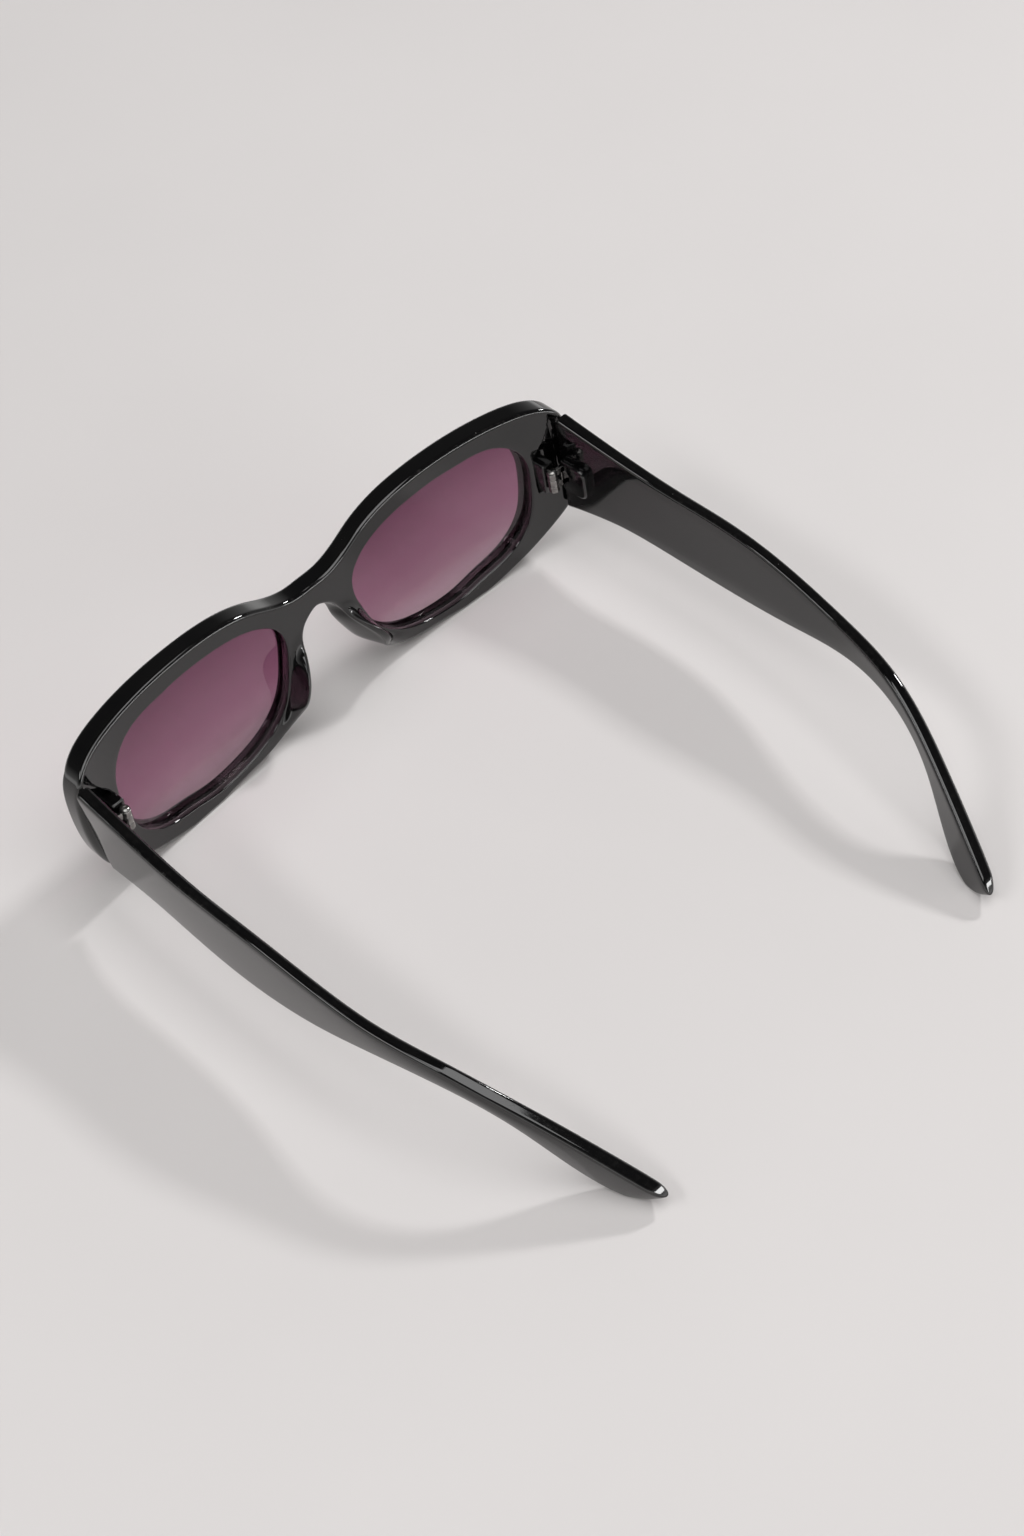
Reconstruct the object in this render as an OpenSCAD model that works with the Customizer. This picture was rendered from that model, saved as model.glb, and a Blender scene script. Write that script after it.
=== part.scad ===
// Oval sunglasses: a one-piece moulded front, two lenses and two temples on three-knuckle hinges.
// The front faces -Y and the temples run to +Y. Rims and temple tips stand on z = 0.
// Left is the wearer's left, which is +X.

/* [Front] */
// Width of the front over its end pieces, mm
front_w = 142; // [136:0.5:148]
// Height of the front from the rims' undersides to the brow, mm
front_h = 42.8; // [41:0.2:46]
// Thickness of the front at the bridge, mm
front_t = 4.8; // [4.6:0.1:5.6]
// Extra thickness of the front at its end pieces, mm
end_extra_t = 1; // [0:0.1:2]
// How far the end pieces wrap back from the bridge, mm
wrap = 6.5; // [5:0.25:7.5]
// Backward lean of the front's lower edge, mm per mm of height
lean = 0.08; // [0.04:0.01:0.1]
// Radius on the front's outer edges, mm
edge_r = 0.9; // [0.5:0.05:1.1]

/* [Nose pads] */
// How far the moulded nose pads stand back from the rims, mm
pad_h = 5.5; // [3:0.1:5.6]
// How far the pads' crests lean away from the nose, mm
pad_splay = 1.6; // [1:0.1:2.4]

/* [Lenses] */
// Width of the lens opening, mm
lens_w = 50; // [48:0.2:51]
// Height of the lens opening, mm
lens_h = 35; // [33:0.2:35.4]
// Thickness of a lens, mm
lens_t = 1.7; // [1.4:0.1:1.8]
// Depth of the lens below the rim's rear edge, mm
lens_recess = 2.2; // [1.8:0.1:2.3]
// Depth of the groove that holds the lens, mm
groove = 0.8; // [0.5:0.05:1]
// Play of the lens in its groove, mm
lens_play = 0.04; // [0.02:0.01:0.08]

/* [Temples] */
// Length of a temple along Y from its butt to just short of its end, mm
temple_l = 131.6; // [128:0.4:140]
// Height of a temple at its root, mm
root_h = 24.4; // [22:0.2:26]
// Height of a temple's tip, mm
tip_h = 10; // [8:0.2:10.2]
// Length over which a temple's tip draws in to its end, mm
tip_taper = 18; // [15:0.5:20]
// Thickness of a temple at its root and tip, mm
temple_t = 3.4; // [3.2:0.1:3.8]
// Radius on a temple's long edges, mm
temple_r = 0.9; // [0.4:0.05:1.1]
// Gap between a temple's butt and the end piece, mm
butt_gap = 0.05; // [0.02:0.01:0.2]

/* [Hinges] */
// Distance of the hinge axis inside the front's side, mm
hinge_in = 8.8; // [8.2:0.1:9]
// Distance of the hinge axis behind the temple's butt, mm
hinge_y = 1.2; // [1:0.1:1.4]
// Height of the middle of the hinge, mm
hinge_z = 23.4; // [22:0.2:24.4]
// Outer diameter of the knuckles, mm
knuckle_d = 2.4; // [2.2:0.1:2.8]
// Height of the front's middle knuckle, mm
mid_h = 2; // [1.6:0.1:2.6]
// Height of each of the temple's two knuckles, mm
side_h = 1.7; // [1.2:0.1:2]
// Thickness of the hinge leaves, mm
leaf_t = 0.9; // [0.7:0.1:1]
// Length of the leaf that is moulded into the temple, mm
leaf_l = 5; // [4:0.2:5.6]
// Diameter of the hinge screw's shank, mm
screw_d = 1.2; // [1:0.1:1.4]
// Diameter of the hinge screw's head, mm
head_d = 2.1; // [1.8:0.1:2.2]
// Height of the hinge screw's head, mm
head_h = 0.7; // [0.5:0.1:1]
// Running play round the screw and between the knuckles, mm
hinge_play = 0.04; // [0.02:0.01:0.06]

/* [Hidden] */
$fn = 48;
black = [0.03, 0.03, 0.035];
steel = [0.7, 0.7, 0.72];
plum = [0.45, 0.3, 0.4];

// Half outline of the front, from the top of the bridge round the end piece to its underside
edge_ctl = [
  [0, 35.2], [5, 35.4], [10.5, 37.3], [16, 40], [23, 42], [32, 42.8], [44, 42.6], [55, 41.8], [63, 40.8],
  [68, 38.6], [70.4, 34], [71, 27], [70.6, 20], [69.2, 14.2], [66, 9.8], [59, 4.9], [50, 1.3], [40, -0.25],
  [30, 1.1], [20.8, 2.4], [13.7, 7.35], [9.55, 10.85], [7.7, 15.6], [5.05, 20.4], [5.95, 24.4], [3.95, 28.9],
  [0, 29.4]
];
function span(v, i) = let (w = [for (q = v) q[i]]) max(w) - min(w);
kx = front_w / (2 * span(edge_ctl, 0));
kz = front_h / max([for (q = edge_ctl) q[1]]);
edge_steps = 3;
bridge_steps = 4;
edge_n = edge_steps * (len(edge_ctl) - 1);
stations = edge_n + bridge_steps;

// Radii of the lens opening about its centre, every 20 degrees from +X upwards
lens_ctl = [25, 26.2, 24, 19.6, 17.7, 17.7, 19.5, 23, 25.6, 23.7, 22.3, 20.6, 18.6, 17.6, 17.7, 18.8, 22.2, 24.4];
lens_mid = [34.5, 20.7];
lens_cx = lens_mid[0] * kx;
lens_cz = lens_mid[1] * kz;

// Temple shape at equal steps from root to tip: its outer face in from the front's side, its middle's height,
// half its height as a share of the root's, its thickness as a share, and the lean of its lower edge
side_ctl = [-0.4, 0.1, 0.2, -0.6, -3.2, -9.9, -21];
mid_ctl = [24.6, 24.5, 23.8, 23.9, 24.1, 24.6, 23.8, 16.6];
half_ctl = [1, 0.805, 0.765, 0.759, 0.6, 0.342, 0.227, 0.236];
thin_ctl = [1, 0.85, 0.82, 0.9, 1.05];
twist_ctl = [-1.7, -0.75, -0.35, 2.2];
side_x = front_w / 2;

// Catmull-Rom curve through a list of values or points
function bend(a, b, c, d, f) =
  b + f / 2 * ((c - a) + f * ((2 * a - 5 * b + 4 * c - d) + f * (3 * b - a + d - 3 * c)));
function along(v, t) =
  let (n = len(v) - 1, i = min(floor(t * n), n - 1), f = t * n - i)
  bend(i > 0 ? v[i - 1] : 2 * v[0] - v[1], v[i], v[i + 1], i + 2 <= n ? v[i + 2] : 2 * v[n] - v[n - 1], f);
function around(v, a) =
  let (n = len(v), t = (a / 360 * n + 2 * n) % n, i = floor(t))
  bend(v[(i + n - 1) % n], v[i], v[(i + 1) % n], v[(i + 2) % n], t - i);
function unit(v) = v / norm(v);

// The lens opening as drawn, to scale it to its width and height
lens_drawn = [for (a = [0 : 5 : 355]) around(lens_ctl, a) * [cos(a), sin(a)]];
lens_kx = lens_w / span(lens_drawn, 0);
lens_kz = lens_h / span(lens_drawn, 1);

// Rear and front faces of the front, as y over x and z
wrap_x = front_w / 2 - 2.5;
lean_z = 22.2;
wrap_power = 5;
function out_share(x, power) = min(1, pow(abs(x) / wrap_x, power));
function rear_y(x, z) = -wrap * (1 - out_share(x, wrap_power)) - lean * (z - lean_z);
function thick(x) = front_t + end_extra_t * out_share(x, 2);
function fore_y(x, z) = rear_y(x, z) - thick(x);

// Outline point and outward normal at a station
function mirror_x(q) = [-q[0], q[1]];
function edge_raw(t) =
  let (n = len(edge_ctl) - 1, i = min(floor(t), n - 1), v = edge_ctl,
       q = bend(i > 0 ? v[i - 1] : mirror_x(v[1]), v[i], v[i + 1], i + 2 <= n ? v[i + 2] : mirror_x(v[n - 1]), t - i))
  [q[0] * kx, max(0, q[1] * kz)];
function edge_at(k) = edge_raw(k / edge_steps);
function edge_normal(k) =
  k == 0 ? [0, 1] : k == edge_n ? [0, -1] :
  let (d = edge_raw((k + 0.5) / edge_steps) - edge_raw((k - 0.5) / edge_steps)) unit([-d[1], d[0]]);
bridge_top = edge_at(0)[1] - edge_r;
bridge_low = edge_at(edge_n)[1] + edge_r;
function on_seam(k) = k == 0 || k >= edge_n;
function outer_at(k) =
  k <= edge_n ? edge_at(k) : [0, bridge_low + (bridge_top - bridge_low) * (k - edge_n) / bridge_steps];

// Lens opening point in the direction of a station
function lens_dir(k) = unit(outer_at(k) - [lens_cx, lens_cz]);
function lens_at(k) =
  let (d = lens_dir(k), a = atan2(d[1], d[0]), r = around(lens_ctl, a))
  [lens_cx + r * d[0] * lens_kx, lens_cz + r * d[1] * lens_kz];

// Height of the nose pad at a station: it swells on the nose side of the rim only
pad_from = 19.7 * edge_steps;
pad_to = 24.8 * edge_steps;
function hump(k, from, to) = k <= from || k >= to ? 0 : sin(180 * (k - from) / (to - from));
pad_fullness = 0.8;
pad_foot = 0.55;
pad_round = 1.5;
function swell(k) = pow(hump(k, pad_from, pad_to), pad_fullness);

// The end piece's rear outer edge is eased more towards the middle of its height
end_from = 9 * edge_steps;
end_to = 15.4 * edge_steps;
end_ease = 1.2;

// Section of the rim at a station, as points [x, y, z] round it
round_in = 0.29;
lip_r = 0.35;
function at_y(q, y) = [q[0], y, q[1]];
function section(k) =
  let (seam = k > edge_n, o = outer_at(k), r = seam ? 0 : edge_r, n = seam ? [-1, 0] : edge_normal(k),
       i = lens_at(k), w = lens_dir(k), s = swell(k), fd = o - r * n, fe = o - round_in * r * n,
       e = r + end_ease * hump(k, end_from, end_to) + pad_round * s,
       b = o - s * pad_splay * n, bd = b - e * n, be = b - round_in * e * n,
       il = i + lip_r * w, fm = (fd + il) / 2, bm = (bd + il) / 2, g = i + groove * w,
       rise = s * pad_h, lens_y = rear_y(i[0], i[1]) - lens_recess, deep_y = rear_y(g[0], g[1]) - lens_recess,
       front_o = fore_y(o[0], o[1]), rear_o = rear_y(b[0], b[1]) + rise)
  [ at_y(i, fore_y(i[0], i[1]) + lip_r),
    at_y(il, fore_y(il[0], il[1])),
    at_y(fm, fore_y(fm[0], fm[1])),
    at_y(fd, fore_y(fd[0], fd[1])),
    at_y(fe, front_o + round_in * r),
    at_y(o, front_o + r),
    at_y(b, rear_o - e),
    at_y(be, rear_o - round_in * e),
    at_y(bd, rear_y(bd[0], bd[1]) + rise),
    at_y(bm, rear_y(bm[0], bm[1]) + rise * pad_foot),
    at_y(il, rear_y(il[0], il[1])),
    at_y(i, rear_y(i[0], i[1]) - lip_r),
    at_y(i, lens_y + lens_play),
    at_y(g, deep_y + lens_play),
    at_y(g, deep_y - lens_t - lens_play),
    at_y(i, lens_y - lens_t - lens_play) ];
ring = 16;
wall_first = 3;
wall_last = 8;

// Both halves share the points on the middle plane
function shared(k, m) = on_seam(k) && m >= wall_first && m <= wall_last;
half_pts = [for (k = [0 : stations - 1]) each section(k)];
frame_pts = [for (q = half_pts) q, for (q = half_pts) [-q[0], q[1], q[2]]];
function spot(side, k, m) =
  let (kk = k % stations, mm = m % ring) kk * ring + mm + (side == 1 && !shared(kk, mm) ? stations * ring : 0);
function open_wall(k, m) = k >= edge_n && m >= wall_first && m < wall_last;
frame_faces = [
  for (k = [0 : stations - 1], m = [0 : ring - 1]) if (!open_wall(k, m))
    let (a = spot(0, k, m), b = spot(0, k + 1, m), c = spot(0, k + 1, m + 1), d = spot(0, k, m + 1))
    each [[a, c, b], [a, d, c]],
  for (k = [0 : stations - 1], m = [0 : ring - 1]) if (!open_wall(k, m))
    let (a = spot(1, k, m), b = spot(1, k + 1, m), c = spot(1, k + 1, m + 1), d = spot(1, k, m + 1))
    each [[a, b, c], [a, c, d]]
];

// Lens: rings of points from its edge to its middle on both faces
lens_rings = 4;
function lens_pt(k, f, y) =
  let (e = lens_at(k) + (groove - lens_play) * lens_dir(k), q = [lens_cx, lens_cz] + f * (e - [lens_cx, lens_cz]))
  at_y(q, rear_y(q[0], q[1]) - lens_recess - y);
lens_loops = [
  for (j = [1 : lens_rings]) [for (k = [0 : stations - 1]) lens_pt(k, j / lens_rings, 0)],
  for (j = [lens_rings : -1 : 1]) [for (k = [0 : stations - 1]) lens_pt(k, j / lens_rings, lens_t)]
];
lens_rear_mid = at_y([lens_cx, lens_cz], rear_y(lens_cx, lens_cz) - lens_recess);

// Closed skin over loops of points, with a point in the middle of each end
function flat(v) = [for (loop = v) each loop];
function skin_faces(rows, cols) = [
  for (j = [0 : rows - 2], k = [0 : cols - 1])
    let (a = j * cols + k, b = j * cols + (k + 1) % cols, c = b + cols, d = a + cols) each [[a, b, c], [a, c, d]],
  for (k = [0 : cols - 1]) [rows * cols, (k + 1) % cols, k],
  for (k = [0 : cols - 1]) [rows * cols + 1, (rows - 1) * cols + k, (rows - 1) * cols + (k + 1) % cols]
];

// Temple: sections from the butt to the end of the tip, which draws in towards its top edge
tip_mid = 0.12;
tip_full = 0.74;
tip_past = 3.1;
tip_lift = 0.9;
taper_power = 0.87;
thin_power = 10;
mids = [for (v = mid_ctl) v * kz, tip_h * tip_mid];
halves = [for (v = half_ctl) v * root_h / 2, tip_h * tip_full];
body_steps = 40;
cap_steps = 12;
cap_turn = 88;
small = 0.01;
butt_share = 0.12;
taper_from = temple_l + tip_past - tip_taper;
side_slope = (side_ctl[len(side_ctl) - 1] - along(side_ctl, 1 - small)) * kx / (small * temple_l);
function from_butt(t) = min(1, t / butt_share);
function slope(t) =
  let (a = max(0, t - small), b = min(1, t + small)) (along(mids, b) - along(mids, a)) / ((b - a) * temple_l);
function across(t) =
  let (b = from_butt(t)) unit([-(lean * (1 - b) + slope(t) * b), 1]);
function temple_row(run, turn) =
  let (t = min(1, run / temple_l), past = max(0, run - temple_l), squeeze = pow(cos(turn), taper_power),
       thin = sqrt(1 - pow(sin(turn), thin_power)), full = along(halves, t), h = full * squeeze,
       wide = along(thin_ctl, t) * temple_t, w = wide * thin, n = across(t), f = unit([1, slope(t)]),
       x = side_x + along(side_ctl, t) * kx - (wide - w) / 2 + side_slope * past * f[0],
       y = t * temple_l + past * f[0], z = along(mids, t) + past * f[1],
       r = min(temple_r * thin, h * round_h, w * round_w), tw = along(twist_ctl, t),
       rise = full * (1 - squeeze) * tip_lift,
       start = butt_gap + lean * (lean_z - along(mids, 0)) * (1 - from_butt(t)))
  [for (q = rounded(h, w, r)) let (v = q[1] + rise)
    [x - q[0] + tw * (full - v) / (2 * full), y + v * n[0] + start, max(0, z + v * n[1])]];
// Rounded rectangle with a slightly full outer face: depth inward from that face, and height
bulge = 0.2;
bulge_full_w = 3;
round_h = 0.6;
round_w = 0.42;
function corner(cx, cy, r, a) = [for (i = [0 : 3]) [cx - r * cos(a + i * 30), cy + r * sin(a + i * 30)]];
function rounded(h, w, r) = [
  [-bulge * min(1, w / bulge_full_w), 0],
  each corner(r, h - r, r, 0),
  each corner(w - r, h - r, r, 90),
  [w, 0],
  each corner(w - r, r - h, r, 180),
  each corner(r, r - h, r, 270)
];
temple_rows = [
  for (j = [0 : body_steps]) temple_row(taper_from * j / body_steps, 0),
  for (j = [1 : cap_steps]) let (a = cap_turn * j / cap_steps) temple_row(taper_from + tip_taper * sin(a), a)
];
temple_cols = 18;
function mean(v) = [for (i = [0 : 2]) let (w = [for (q = v) q[i]]) (max(w) + min(w)) / 2];
temple_pts = concat(flat(temple_rows), [mean(temple_rows[0]), mean(temple_rows[len(temple_rows) - 1])]);

// The object is centred on the origin in Y
reach = [min([for (q = frame_pts) q[1]]), max([for (q = temple_pts) q[1]])];
mid_y = (reach[0] + reach[1]) / 2;

// Hinge sizes that follow from the fits
hinge_x = side_x - hinge_in;
stack_h = mid_h + 2 * side_h + 2 * hinge_play;
stack_z = hinge_z - stack_h / 2;
mid_z = stack_z + side_h + hinge_play;
knuckle_r = knuckle_d / 2;
bore_r = screw_d / 2 + hinge_play;

// Moulded block on the end piece, round the leaf in it
block_gap = 0.15;
block_wall = 1.3;
block_w = 3.2;
block_deep = 4.2;
block_y = hinge_y - knuckle_r - block_gap;
root_deep = 3;
root_cover = 0.6;

// Moulded tablet on the temple's inner face, round the leaf in it
tablet_x = hinge_x + knuckle_r + 1.7;
tablet_sink = 0.5;
tablet_w = side_x + side_ctl[0] * kx - temple_t + tablet_sink - tablet_x;
tablet_r = 2.2;
tablet_l = 7.4;
tablet_below = 2;
tablet_above = 1;
tablet_y = hinge_y - leaf_t / 2;
anchor_x = tablet_x + 0.9;
web = 0.7;
slot_w = 0.4;

module placed() {
  translate([0, -mid_y, 0])
    children();
}

module knuckle(z, h) {
  translate([hinge_x, hinge_y, z])
    cylinder(d = knuckle_d, h = h);
}

// Clear bore through the knuckles
module bore() {
  translate([hinge_x, hinge_y, stack_z - stack_h / 2])
    cylinder(r = bore_r, h = 2 * stack_h);
}

module end_block() {
  translate([hinge_x - block_wall, block_y - block_deep, stack_z - block_wall])
    cube([block_w, block_deep, stack_h + 2 * block_wall]);
}

// Leaf that is moulded into the end piece, with the arm of the middle knuckle
module front_leaf() {
  translate([hinge_x - leaf_t / 2, block_y - root_deep, stack_z])
    cube([leaf_t, root_deep - root_cover, stack_h]);
  translate([hinge_x - leaf_t / 2, block_y - root_deep, mid_z])
    cube([leaf_t, hinge_y - block_y + root_deep, mid_h]);
}

// Leaf that is moulded into the temple, with the arms of the two outer knuckles
module temple_leaf() {
  for (z = [stack_z, stack_z + stack_h - side_h])
    translate([hinge_x, tablet_y, z])
      cube([anchor_x - hinge_x + leaf_t, leaf_t, side_h]);
  translate([tablet_x - web, tablet_y, stack_z])
    cube([anchor_x - tablet_x + leaf_t + web, leaf_t, stack_h]);
  translate([anchor_x, tablet_y, stack_z])
    cube([leaf_t, leaf_l, stack_h]);
}

// Moulded tablet on the temple's inner face, with round corners at its far end
module tablet() {
  low = stack_z - tablet_below;
  high = stack_z + stack_h + tablet_above;
  translate([tablet_x, tablet_y, low])
    cube([tablet_w, tablet_l - tablet_r, high - low]);
  translate([tablet_x, tablet_y, low + tablet_r])
    cube([tablet_w, tablet_l, high - low - 2 * tablet_r]);
  for (z = [low + tablet_r, high - tablet_r])
    translate([tablet_x, tablet_y + tablet_l - tablet_r, z])
      rotate([0, 90, 0])
        cylinder(r = tablet_r, h = tablet_w);
}

module front_frame() {
  color(black)
    placed()
      difference() {
        union() {
          polyhedron(frame_pts, frame_faces, convexity = 8);
          end_block();
          mirror([1, 0, 0])
            end_block();
        }
        front_leaf();
        mirror([1, 0, 0])
          front_leaf();
      }
}

module lens() {
  color(plum)
    placed()
      polyhedron(concat(flat(lens_loops), [lens_rear_mid, lens_rear_mid - [0, lens_t, 0]]),
        skin_faces(2 * lens_rings, stations), convexity = 4);
}

module front_hinge() {
  color(steel)
    placed()
      difference() {
        union() {
          front_leaf();
          knuckle(mid_z, mid_h);
        }
        bore();
      }
}

module temple_hinge() {
  color(steel)
    placed()
      difference() {
        union() {
          temple_leaf();
          knuckle(stack_z, side_h);
          knuckle(stack_z + stack_h - side_h, side_h);
        }
        bore();
      }
}

module hinge_screw() {
  color(steel)
    placed()
      translate([hinge_x, hinge_y, stack_z])
        difference() {
          union() {
            cylinder(d = screw_d, h = stack_h);
            translate([0, 0, stack_h])
              cylinder(d = head_d, h = head_h);
          }
          translate([-head_d, -slot_w / 2, stack_h + head_h / 2])
            cube([2 * head_d, slot_w, head_h]);
        }
}

module temple() {
  color(black)
    placed()
      difference() {
        union() {
          polyhedron(temple_pts, skin_faces(len(temple_rows), temple_cols), convexity = 6);
          tablet();
        }
        temple_leaf();
      }
}

module other_side() {
  mirror([1, 0, 0])
    children();
}

front_frame();
lens();  // lens_left
other_side() lens();  // lens_right
front_hinge();  // front_hinge_left
other_side() front_hinge();  // front_hinge_right
temple();  // temple_left
other_side() temple();  // temple_right
temple_hinge();  // temple_hinge_left
other_side() temple_hinge();  // temple_hinge_right
hinge_screw();  // hinge_screw_left
other_side() hinge_screw();  // hinge_screw_right
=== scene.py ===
import bmesh
import bpy
import numpy as np
from mathutils import Matrix, Vector


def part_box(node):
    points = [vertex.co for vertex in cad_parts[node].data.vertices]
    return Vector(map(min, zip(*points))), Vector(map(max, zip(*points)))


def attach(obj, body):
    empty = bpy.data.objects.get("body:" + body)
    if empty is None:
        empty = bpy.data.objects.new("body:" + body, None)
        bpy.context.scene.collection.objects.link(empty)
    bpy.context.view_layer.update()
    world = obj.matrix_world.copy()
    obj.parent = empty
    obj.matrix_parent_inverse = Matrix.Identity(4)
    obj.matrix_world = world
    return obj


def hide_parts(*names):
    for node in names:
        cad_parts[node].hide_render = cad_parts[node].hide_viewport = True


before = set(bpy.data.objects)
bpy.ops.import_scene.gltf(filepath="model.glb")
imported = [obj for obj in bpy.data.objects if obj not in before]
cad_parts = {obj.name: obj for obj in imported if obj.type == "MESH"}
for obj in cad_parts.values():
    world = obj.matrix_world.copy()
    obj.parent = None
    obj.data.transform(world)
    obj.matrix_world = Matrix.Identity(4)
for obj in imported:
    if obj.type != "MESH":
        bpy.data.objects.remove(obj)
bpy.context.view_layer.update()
print("frame loaded:", len(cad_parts), "nodes")

mm = 0.001
hingeBehindButt = 1.2  # the hinge axis behind the temples' butt plane, as in the part
screwLow, screwHigh = (np.array(corner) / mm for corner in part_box("hinge_screw_left"))
hingeX = (screwLow[0] + screwHigh[0]) / 2
buttY = (screwLow[1] + screwHigh[1]) / 2 - hingeBehindButt
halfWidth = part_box("front_frame")[1][0] / mm
sides = (("left", 1), ("right", -1))


def curve(values, t, closed=False):
    # cubic through equally spaced values with an even second derivative, at t from 0 to 1 along them
    v = np.asarray(values, float)
    v = v[:, None] if v.ndim == 1 else v
    n = len(v)
    spans = n if closed else n - 1
    matrix = 4 * np.eye(n) + np.eye(n, k=1) + np.eye(n, k=-1)
    right = 6 * (np.roll(v, 1, axis=0) - 2 * v + np.roll(v, -1, axis=0))
    if closed:
        matrix[0, -1] = matrix[-1, 0] = 1
    else:
        matrix[0], matrix[-1] = np.eye(n)[0], np.eye(n)[-1]
        right[0] = right[-1] = 0
    bend = np.linalg.solve(matrix, right)
    u = np.asarray(t, float) * spans
    i = np.floor(u).astype(int)
    if not closed:
        i = np.clip(i, 0, n - 2)
    f = (u - i)[..., None]
    a, b = i % n, (i + 1) % n
    g = 1 - f
    out = g * v[a] + f * v[b] + ((g ** 3 - g) * bend[a] + (f ** 3 - f) * bend[b]) / 6
    return out[..., 0] if np.ndim(values) == 1 else out


def eased(value, low, high):
    # 0 to 1 between low and high, level at both ends
    f = np.clip((value - low) / (high - low), 0, 1)
    return f * f * (3 - 2 * f)


def hump(value, span):
    # half a sine wave over the span, 0 outside it
    low, high = span
    return np.sin(np.pi * np.clip((value - low) / (high - low), 0, 1))


def unit(v):
    return v / np.maximum(np.linalg.norm(v, axis=-1, keepdims=True), 1e-9)


def mirrored(points):
    return np.asarray(points) * [-1, 1, 1]


def gridFaces(rows, cols, closeRows=False):
    # quads of a grid of rows x cols points, joined round along its columns, and along its rows where asked
    r = np.arange(rows if closeRows else rows - 1)[:, None]
    c = np.arange(cols)[None, :]
    nextRow, nextCol = (r + 1) % rows, (c + 1) % cols
    corners = [(r, c), (r, nextCol), (nextRow, nextCol), (nextRow, c)]
    return np.stack([row * cols + col for row, col in corners], axis=-1)


def capped(loops, wear=0):
    # closed shell through a stack of loops, its two ends closed by fans from their middles
    rows, cols = loops.shape[:2]
    points = np.vstack([loops.reshape(-1, 3), loops[0].mean(axis=0), loops[-1].mean(axis=0)])
    ring, top = np.arange(cols), (rows - 1) * cols
    ends = [(rows * cols, b, a) for a, b in zip(ring, np.roll(ring, -1))]
    ends += [(rows * cols + 1, top + a, top + b) for a, b in zip(ring, np.roll(ring, -1))]
    worn = np.r_[np.broadcast_to(wear, (rows, cols)).ravel(), 0, 0]
    return points, gridFaces(rows, cols).reshape(-1, 4).tolist() + ends, worn


def turned(middle, profile, around=48, closed=False):
    # profile of radius and height turned about an upright axis; a closed profile gives a ring
    a = np.linspace(0, 2 * np.pi, around, endpoint=False)
    r, z = np.array(profile, float).T[..., None]
    loops = np.stack([middle[0] + r * np.cos(a), middle[1] + r * np.sin(a), z + 0 * a], axis=-1)
    if not closed:
        return capped(loops)
    faces = gridFaces(len(r), around, closeRows=True).reshape(-1, 4).tolist()
    return loops.reshape(-1, 3), faces, np.zeros(loops[..., 0].size)


def roundBox(low, high, r, steps=6):
    # block with all its edges rounded: a ball's quarters moved out to the corners, on a grid of two angles
    low, high = np.array(low, float), np.array(high, float)
    middle, reach = (low + high) / 2, (high - low) / 2 - r
    quarter = np.linspace(0, 90, steps)
    lon = np.concatenate([quarter + start for start in (0, 90, 180, 270)])
    signs = np.repeat([(1, 1), (-1, 1), (-1, -1), (1, -1)], steps, axis=0)
    lat = np.concatenate([-quarter[::-1], quarter])
    up = np.repeat([-1, 1], steps)
    a, b = np.radians(lon)[None, :], np.radians(lat)[:, None]
    x = middle[0] + signs[:, 0] * reach[0] + r * np.cos(b) * np.cos(a)
    y = middle[1] + signs[:, 1] * reach[1] + r * np.cos(b) * np.sin(a)
    z = middle[2] + up[:, None] * reach[2] + r * np.sin(b) + 0 * a
    wear = np.maximum(np.sin(2 * np.abs(b)), np.sin(2 * (a % (np.pi / 2))) * np.cos(b))
    return capped(np.stack([x, y, z], axis=-1), wear)


def joined(*shells):
    # several shells as one set of points, faces and wear
    starts = np.cumsum([0] + [len(points) for points, _, _ in shells])
    faces = [[i + start for i in face] for start, (_, some, _) in zip(starts, shells) for face in some]
    return np.vstack([shell[0] for shell in shells]), faces, np.concatenate([shell[2] for shell in shells])


def mirroredShell(shell):
    points, faces, wear = shell
    return mirrored(points), [face[::-1] for face in faces], wear


def toMetres(points):
    return (np.asarray(points, float).reshape(-1, 3) + [0, buttY, 0]) * mm


def makePiece(name, points, faces, material, wear=None):
    # points in millimetres from the butt plane; near doubles are merged and faces turned outwards
    mesh = bpy.data.meshes.new(name)
    mesh.from_pydata(toMetres(points).tolist(), [], [tuple(f) for f in faces])
    if wear is not None:
        layer = mesh.attributes.new("wear", "FLOAT", "POINT")
        layer.data.foreach_set("value", np.asarray(wear, float).ravel())
    near = 1e-4 * mm
    work = bmesh.new()
    work.from_mesh(mesh)
    bmesh.ops.remove_doubles(work, verts=work.verts, dist=near)
    bmesh.ops.dissolve_degenerate(work, edges=work.edges, dist=near)
    bmesh.ops.recalc_face_normals(work, faces=work.faces)
    work.to_mesh(mesh)
    work.free()
    mesh.shade_smooth()
    piece = bpy.data.objects.new(name, mesh)
    bpy.context.collection.objects.link(piece)
    mesh.materials.append(material)
    return piece


def newMaterial(name):
    material = bpy.data.materials.new(name)
    material.use_nodes = True
    tree = material.node_tree
    return material, tree, tree.nodes["Principled BSDF"]


def node(tree, kind, label, feeds=None, **settings):
    # new node: settings are its properties or its sockets' values, feeds other nodes' outputs by socket
    made = tree.nodes.new("ShaderNode" + kind)
    made.label = label
    for key, value in settings.items():
        if hasattr(made, key):
            setattr(made, key, value)
        else:
            made.inputs[key.replace("_", " ")].default_value = value
    for socket, output in (feeds or {}).items():
        tree.links.new(output, made.inputs[socket])
    return made


def objectPlace(tree):
    return node(tree, "TexCoord", "place").outputs["Object"]


def noise(tree, label, place, fine, **settings):
    return node(tree, "TexNoise", label, {"Vector": place}, Scale=fine, **settings).outputs["Fac"]


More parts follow.
